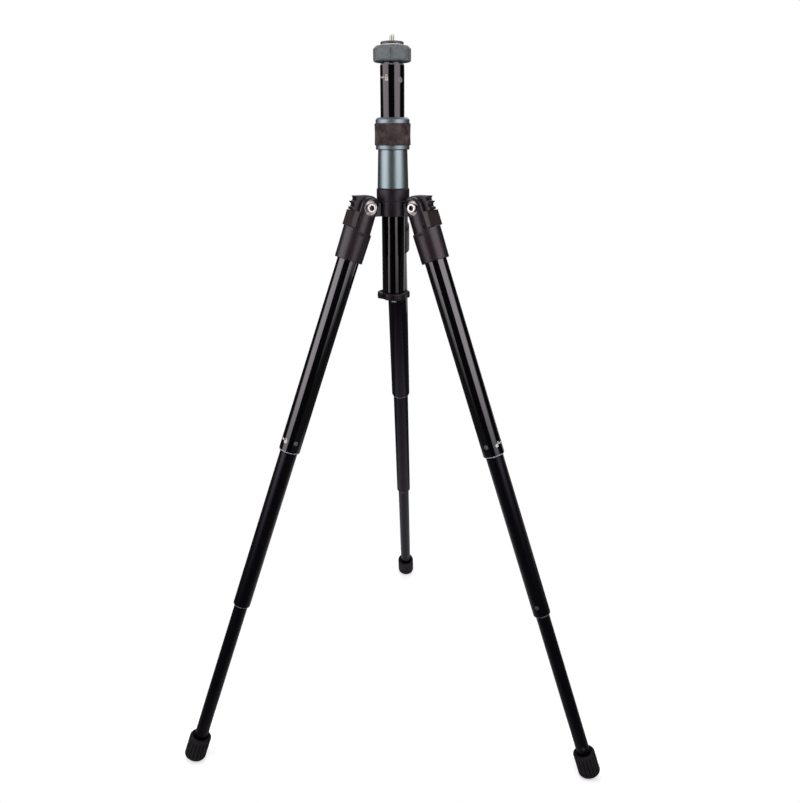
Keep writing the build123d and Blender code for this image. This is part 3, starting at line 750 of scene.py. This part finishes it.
slot_of_node = {part["node"]: part["material_slot"] for part in frame["record"]["subparts"]}
for name, solid in nodes.items():
    solid.data.materials.clear()
    solid.data.materials.append(finish_of_node.get(name) or finish_of_slot[slot_of_node[name]])
print("dressed", len(nodes), "solids,", len(finish_of_node), "by name")

# %% [markdown]
# ## Modelling by hand
# The small pieces are made as one would in the window: add a primitive, go into edit mode, pick edges or
# faces, extrude or bevel them. The window's mouse is missing here, so edges and faces are picked by their
# place. These helpers do the picking, and put a finished piece's place into its mesh.


# %% Picking
def mode(name):
    bpy.ops.object.mode_set(mode=name)


def pick(piece, kind, test):
    """In edit mode, selects the vertices, edges or faces whose middle passes a test."""
    bpy.ops.mesh.select_mode(type=kind)
    bpy.ops.mesh.select_all(action="DESELECT")
    mode("OBJECT")
    mesh = piece.data
    points = [vertex.co for vertex in mesh.vertices]
    middles = {
        "VERT": [(vertex, vertex.co) for vertex in mesh.vertices],
        "EDGE": [(edge, (points[edge.vertices[0]] + points[edge.vertices[1]]) / 2) for edge in mesh.edges],
        "FACE": [(face, face.center) for face in mesh.polygons],
    }
    for item, middle in middles[kind]:
        item.select = test(middle)
    mode("EDIT")


# %% Finishing a piece
def settle(piece):
    """Leaves edit mode, and moves the object's place, turn and scale into its mesh."""
    if piece.mode == "EDIT":
        mode("OBJECT")
    bpy.ops.object.select_all(action="DESELECT")
    piece.select_set(True)
    bpy.context.view_layer.objects.active = piece
    bpy.ops.object.transform_apply(location=True, rotation=True, scale=True)
    return piece


def apply_modifier(piece, kind, **settings):
    """Adds a modifier, sets it up and makes its result the piece's mesh."""
    bpy.context.view_layer.objects.active = piece
    modifier = piece.modifiers.new(kind.lower(), kind)
    for name, setting in settings.items():
        setattr(modifier, name, setting)
    bpy.ops.object.modifier_apply(modifier=modifier.name)


def weld(pieces, name):
    """Joins pieces into one and turns all its faces outwards."""
    bpy.ops.object.select_all(action="DESELECT")
    for piece in pieces:
        piece.select_set(True)
    bpy.context.view_layer.objects.active = pieces[0]
    if len(pieces) > 1:
        bpy.ops.object.join()
    joined = bpy.context.object
    joined.name = joined.data.name = name
    mode("EDIT")
    bpy.ops.mesh.select_all(action="SELECT")
    bpy.ops.mesh.normals_make_consistent(inside=False)
    mode("OBJECT")
    return joined


def dress(piece, material, body):
    """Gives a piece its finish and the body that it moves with."""
    piece.data.materials.clear()
    piece.data.materials.append(material)
    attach(piece, body)
    print(piece.name, len(piece.data.polygons), "faces on", body)


# %% [markdown]
# ## Camera stud
# The stud that a camera or a head is screwed onto has a quarter-inch thread with 20 turns to the inch. A
# bump map would show no thread in outline, so a small triangle is swept along a helix with the Screw
# modifier and set on a round core. Its hexagon head and shoulder sit in the platform.

# %% Core of the stud
thread_root = 0.00255
lead_height = 0.0006
touch = 1e-6
stud_low, stud_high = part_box("camera_stud")
core_height = stud_high.z - stud_low.z
bpy.ops.mesh.primitive_cylinder_add(
    vertices=48, radius=thread_root, depth=core_height, location=(0, 0, stud_low.z + core_height / 2))
core = settle(bpy.context.object)
mode("EDIT")
pick(core, "EDGE", lambda middle: middle.z > stud_high.z - touch)
bpy.ops.mesh.bevel(offset=lead_height, segments=3)
settle(core)
print("core", round(core_height, 4), "m high")

# %% Thread of the stud
thread_pitch = 0.00127
thread_crest = 0.00312
ridge_share = 0.55
thread_steps = 36
platform_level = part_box("platform")[1].z
thread_top = stud_high.z - lead_height
bpy.ops.mesh.primitive_circle_add(vertices=3, radius=thread_pitch * ridge_share, fill_type="NOTHING")
ridge = bpy.context.object
ridge.rotation_euler = (pi / 2, pi / 2, 0)
settle(ridge)
ridge_reach = max(vertex.co.x for vertex in ridge.data.vertices)
ridge.location = (thread_crest - ridge_reach, 0, platform_level - thread_pitch)
settle(ridge)
turns = int((thread_top - platform_level) / thread_pitch) + 1
apply_modifier(
    ridge, "SCREW", screw_offset=thread_pitch, iterations=turns, steps=thread_steps,
    render_steps=thread_steps, use_merge_vertices=True, merge_threshold=1e-7)
mode("EDIT")
bpy.ops.mesh.select_all(action="SELECT")
bpy.ops.mesh.bisect(plane_co=(0, 0, thread_top), plane_no=(0, 0, 1), clear_outer=True, use_fill=True)
bpy.ops.mesh.select_all(action="SELECT")
bpy.ops.mesh.fill_holes(sides=0)
settle(ridge)
print("thread of", turns, "turns")

# %% Head of the stud
shoulder_share = 0.4
shoulder_drop = 0.0003
head_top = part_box("inner_column_tube")[1].z
head_middle = (head_top + stud_low.z) / 2
bpy.ops.mesh.primitive_cylinder_add(
    vertices=6, radius=stud_high.x, depth=head_top - stud_low.z, location=(0, 0, head_middle))
head = settle(bpy.context.object)
mode("EDIT")
pick(head, "FACE", lambda middle: middle.z > head_top - touch)
bpy.ops.mesh.inset(thickness=stud_high.x * shoulder_share)
shoulder_rise = platform_level - head_top - shoulder_drop
bpy.ops.mesh.extrude_region_move(TRANSFORM_OT_translate={"value": (0, 0, shoulder_rise)})
settle(head)
stud = weld([core, ridge, head], "threaded_stud")
bpy.ops.object.shade_smooth_by_angle(angle=radians(28))
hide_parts("camera_stud")
dress(stud, nickel, "inner_column")

# %% [markdown]
# ## Latch springs
# A coil spring behind each latch pushes it back into its notch, and is pressed together when the latch is
# pulled. A plain sleeve would stand in the latch's way, so wire is wound with the Screw modifier.

# %% Winding a spring
spring_wire = 0.0004
spring_turns = 11
spring_steps = 20


def wind_spring(name, length, radius):
    """A coil of round wire that stands on the floor round the Z axis."""
    bpy.ops.object.select_all(action="DESELECT")
    bpy.ops.mesh.primitive_circle_add(vertices=8, radius=spring_wire / 2, fill_type="NOTHING")
    wire = bpy.context.object
    wire.rotation_euler = (pi / 2, 0, 0)
    settle(wire)
    wire.location = (radius - spring_wire / 2, 0, spring_wire / 2)
    settle(wire)
    pitch = (length - spring_wire) / spring_turns
    apply_modifier(
        wire, "SCREW", screw_offset=pitch, iterations=spring_turns, steps=spring_steps,
        render_steps=spring_steps)
    mode("EDIT")
    bpy.ops.mesh.select_all(action="SELECT")
    bpy.ops.mesh.fill_holes(sides=0)
    settle(wire)
    spring = weld([wire], name)
    bpy.ops.object.shade_smooth_by_angle(angle=radians(50))
    return spring


# %% Latch springs
for leg in leg_names:
    stand = leg_matrix(leg)
    points = leg_points(leg, "latch_spring")
    low = Vector([min(point[axis] for point in points) for axis in range(3)])
    high = Vector([max(point[axis] for point in points) for axis in range(3)])
    middle = (low + high) / 2
    length = high.x - low.x
    spring = wind_spring(f"latch_coil_{leg}_leg", length, (high.z - low.z) / 2)
    seat = Matrix.Translation((low.x, middle.y, middle.z))
    spring.matrix_world = stand @ seat @ Matrix.Rotation(pi / 2, 4, "Y")
    settle(spring)
    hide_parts(f"{leg}_leg_latch_spring")
    dress(spring, bright_steel, f"{leg}_leg")
    pull = joints[f"{leg}_latch_pull"]
    1 - pull["range_m"][1] / length
    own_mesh(spring)

# %% [markdown]
# ## Rubber grip
# A rubber band on the lock collar gives the hand its hold. It has fine upright ribs and is drawn in a
# little at its middle. Each face of an open cylinder is inset by itself and pushed out, which makes all
# the ribs at once, and then the band is cut across and its middle scaled in.

# %% Ribs of the grip
rib_count = 90
rib_height = 0.0004
rib_slope = 0.0003
grip_low, grip_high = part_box("collar_grip")
grip_radius = grip_high.x
grip_middle = (grip_low.z + grip_high.z) / 2
grip_half = (grip_high.z - grip_low.z) / 2
bpy.ops.mesh.primitive_cylinder_add(
    vertices=rib_count, radius=grip_radius - rib_height, depth=2 * grip_half,
    end_fill_type="NOTHING", location=(0, 0, grip_middle))
grip = settle(bpy.context.object)
mode("EDIT")
bpy.ops.mesh.select_all(action="SELECT")
bpy.ops.mesh.inset(thickness=rib_slope, depth=rib_height, use_individual=True)
print("ribs", rib_count, "on a radius of", round(grip_radius, 4))

# %% Waist and wall of the grip
grip_waist = 0.0004
grip_wall = 0.0023
cuts = [-0.75, -0.5, -0.25, 0, 0.25, 0.5, 0.75]
for cut in cuts:
    bpy.ops.mesh.select_all(action="SELECT")
    bpy.ops.mesh.bisect(plane_co=(0, 0, grip_middle + cut * grip_half), plane_no=(0, 0, 1))
for cut in cuts:
    level = grip_middle + cut * grip_half
    pick(grip, "VERT", lambda middle: abs(middle.z - level) < touch)
    drawn_in = 1 - grip_waist / grip_radius * (1 - cut ** 2)
    bpy.ops.transform.resize(value=(drawn_in, drawn_in, 1), center_override=(0, 0, level))
bpy.ops.mesh.select_mode(type="EDGE")
bpy.ops.mesh.select_all(action="DESELECT")
bpy.ops.mesh.select_non_manifold()
bpy.ops.mesh.extrude_edges_move()
inner_share = (grip_radius - grip_wall) / (grip_radius - rib_height)
bpy.ops.transform.resize(value=(inner_share, inner_share, 1), center_override=(0, 0, grip_middle))
bpy.ops.mesh.bridge_edge_loops()
settle(grip)
grip = weld([grip], "ribbed_grip")
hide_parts("collar_grip")
dress(grip, grip_rubber, "lock_collar")

# %% [markdown]
# ## Printed lock marks
# By the twist locks of the column and the upper tubes, a print shows which way to turn: a closed padlock,
# an arrow with two heads and an open padlock. A decal picture could do it, but a print modelled as a thin
# skin keeps its crisp edge. It is drawn flat, cut into narrow strips, given its thickness and bent round
# the tube with Simple Deform. The print is white on the legs and a duller cream on the column.

# %% Padlocks and arrows
flat_on = (pi / 2, 0, 0)


def plate(width, height, x, z):
    """A flat upright rectangle."""
    bpy.ops.mesh.primitive_plane_add(size=1, location=(x, 0, z), rotation=flat_on)
    bpy.context.object.scale = (width, height, 1)
    return settle(bpy.context.object)


def padlock(x, size, is_open):
    """A padlock of a given height: a plate with a keyhole, and a shackle over it."""
    width = size * 0.54
    body_height = size * 0.52
    body = plate(width, body_height, x, body_height / 2 - size / 2)
    mode("EDIT")
    bpy.ops.mesh.inset(thickness=width * 0.38)
    bpy.ops.mesh.delete(type="FACE")
    settle(body)
    radius = width * 0.42
    thickness = width * 0.2
    shackle_x = x + (radius * 1.5 if is_open else 0)
    shackle_z = body_height - size / 2 + size * 0.12
    bpy.ops.mesh.primitive_circle_add(
        vertices=24, radius=radius, fill_type="NGON", location=(shackle_x, 0, shackle_z), rotation=flat_on)
    shackle = settle(bpy.context.object)
    mode("EDIT")
    bpy.ops.mesh.select_all(action="SELECT")
    bpy.ops.mesh.inset(thickness=thickness)
    bpy.ops.mesh.delete(type="FACE")
    bpy.ops.mesh.select_all(action="SELECT")
    bpy.ops.mesh.bisect(plane_co=(0, 0, shackle_z), plane_no=(0, 0, -1), clear_outer=True)
    settle(shackle)
    leg_height = shackle_z - (body_height - size / 2)
    leg_spots = [shackle_x - radius + thickness / 2, shackle_x + radius - thickness / 2]
    if is_open:
        leg_spots = leg_spots[:1]
    legs = [plate(thickness, leg_height, spot, shackle_z - leg_height / 2) for spot in leg_spots]
    return [body, shackle, *legs]


def arrow(length, size):
    """A level arrow with a head at each end."""
    pieces = [plate(length - size, size * 0.16, 0, 0)]
    for side in (-1, 1):
        bpy.ops.mesh.primitive_circle_add(
            vertices=3, radius=size * 0.3, fill_type="NGON",
            location=(side * (length / 2 - size * 0.3), 0, 0), rotation=(pi / 2, side * pi / 2, 0))
        pieces.append(settle(bpy.context.object))
    return pieces


# %% The whole print
print_thickness = 0.00005
print_lift = 0.00002
strip_width = 0.0006


def lock_mark(name, size, tube_radius):
    """The whole print, bent round an upright tube at the origin, in front of it."""
    spread = size * 1.06
    closed_lock = padlock(spread, size, False)
    turn_arrow = arrow(size * 1.35, size * 0.9)
    open_lock = padlock(-spread, size, True)
    flat = weld([*closed_lock, *turn_arrow, *open_lock], name)
    width = flat.dimensions.x
    mode("EDIT")
    for step in range(int(width / strip_width)):
        bpy.ops.mesh.select_all(action="SELECT")
        bpy.ops.mesh.bisect(plane_co=(step * strip_width - width / 2, 0, 0), plane_no=(1, 0, 0))
    settle(flat)
    apply_modifier(flat, "SOLIDIFY", thickness=print_thickness, offset=0)
    radius = tube_radius + print_thickness / 2 + print_lift
    apply_modifier(flat, "SIMPLE_DEFORM", deform_method="BEND", deform_axis="Z", angle=width / radius)
    flat.location.y = -radius
    return settle(flat)


# %% Print finishes
worn_share = 0.81


def print_finish(name, colour):
    """Paint that is worn in small patches."""
    material, finish = new_finish(name)
    worn = finish.noise(finish.place(), scale=900, detail=4)
    shade = finish.blend(worn, tint(colour), tint(colour, worn_share))
    surface(finish, Base_Color=shade, Roughness=0.5 + 0.2 * (worn - 0.5))
    return material


print_white = print_finish("white_print", (0.86, 0.83, 0.77))
print_cream = print_finish("cream_print", (0.52, 0.44, 0.38))
print("prints", print_white.name, print_cream.name)

# %% Mark on the column
column_mark_size = 0.008
column_mark_azimuth = 213.3
column_mark_level = 0.9352
column_radius = 0.015
mark = lock_mark("lock_mark_column", column_mark_size, column_radius)
mark.rotation_euler.z = radians(column_mark_azimuth + 90)
mark.location.z = column_mark_level
settle(mark)
dress(mark, print_cream, "column")

# %% Marks on the legs
leg_mark_size = 0.0078
leg_mark_rise = 0.0145
leg_mark_turns = {"rear": 0, "left": -3, "right": 4}
for leg, mark_turn in leg_mark_turns.items():
    points = leg_points(leg, "upper_tube")
    tube_end = min(point.z for point in points)
    tube_radius = max(point.xy.length for point in points)
    mark = lock_mark(f"lock_mark_{leg}_leg", leg_mark_size, tube_radius)
    upright = Matrix.Translation((0, 0, tube_end + leg_mark_rise))
    mark.matrix_world = leg_matrix(leg) @ upright @ Matrix.Rotation(radians(90 + mark_turn), 4, "Z")
    settle(mark)
    dress(mark, print_white, f"{leg}_leg")

# %% [markdown]
# ## Foot pegs
# A peg through each lower tube holds the plug that the foot is pressed on. The tubes can be twisted, so
# only the right leg's peg faces the camera. A short cylinder with a bevelled rim is enough.

# %% Foot pegs
peg_radius = 0.0023
peg_depth = 0.0012
peg_stand = 0.0001
peg_rim = 0.0003
peg_rise = 0.0094
peg_turns = {"rear": 0, "left": 150, "right": -54}
for leg, peg_turn in peg_turns.items():
    tube_radius = max(point.xy.length for point in leg_points(leg, "lower_tube"))
    foot_top = max(point.z for point in leg_points(leg, "foot"))
    bpy.ops.object.select_all(action="DESELECT")
    bpy.ops.mesh.primitive_cylinder_add(vertices=32, radius=peg_radius, depth=peg_depth)
    peg = settle(bpy.context.object)
    mode("EDIT")
    pick(peg, "EDGE", lambda middle: middle.z > peg_depth / 2 - touch)
    bpy.ops.mesh.bevel(offset=peg_rim, segments=2)
    settle(peg)
    peg = weld([peg], f"foot_peg_{leg}_leg")
    bpy.ops.object.shade_smooth_by_angle(angle=radians(30))
    outward = Matrix.Translation((tube_radius + peg_stand - peg_depth / 2, 0, foot_top + peg_rise))
    facing = Matrix.Rotation(radians(peg_turn), 4, "Z")
    peg.matrix_world = leg_matrix(leg) @ facing @ outward @ Matrix.Rotation(pi / 2, 4, "Y")
    settle(peg)
    dress(peg, peg_plastic, f"{leg}_lower")
